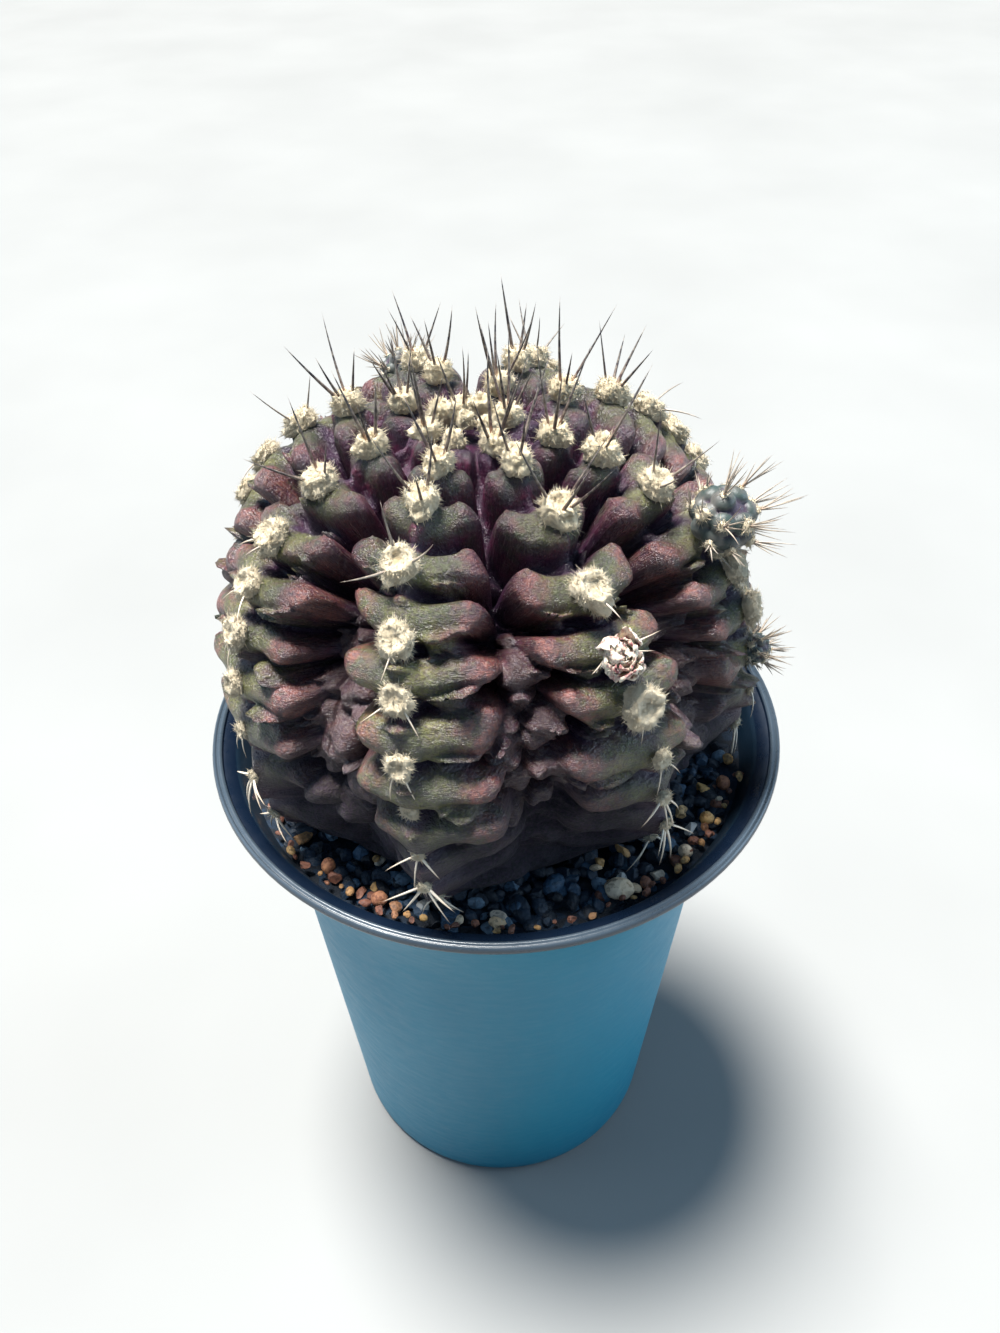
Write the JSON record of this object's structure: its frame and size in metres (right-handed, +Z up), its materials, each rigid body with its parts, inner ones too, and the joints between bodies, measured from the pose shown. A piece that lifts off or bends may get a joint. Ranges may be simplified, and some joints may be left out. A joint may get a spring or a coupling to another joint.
{
  "type": "potted chin cactus",
  "caption": "Round banded cactus with knobbly ribs, woolly areoles, thin spines and small pups, growing in dark grit in a tapered round plastic pot with a rolled lip.",
  "frame": {"origin": "centre of the pot's flat base, on the surface it stands on", "axes": "+Z up through the plant, -Y towards the front with the beige pebble, +X to the right"},
  "size_m": [0.0917, 0.092, 0.1627],
  "materials": {
    "pot_plastic": "satin teal blue moulded plastic",
    "dark_grit": "dark blue-black gritty soil",
    "cactus_skin": "purple-brown fleshy skin, olive on the rolls, with cream wool and spines",
    "pup_skin": "grey-green to purple flesh with dark spines",
    "dry_flower": "papery dry petals",
    "beige_stone": "smooth beige stone",
    "orange_stone": "rough orange-brown stone",
    "ochre_stone": "rough ochre stone"
  },
  "bodies": {
    "root": {"pot": "pot_plastic", "soil": "dark_grit", "cactus_body": "cactus_skin", "offset_right": "pup_skin", "offset_lower_right": "pup_skin", "offset_back_left": "pup_skin", "flower_remnant": "dry_flower", "pebble_beige": "beige_stone", "stone_orange_left": "orange_stone", "stone_orange_front": "orange_stone", "stone_ochre_right": "ochre_stone", "stone_orange_right": "orange_stone", "stone_buff_right": "beige_stone", "stone_brown_back": "orange_stone", "stone_buff_back": "beige_stone"}
  },
  "joints": []
}
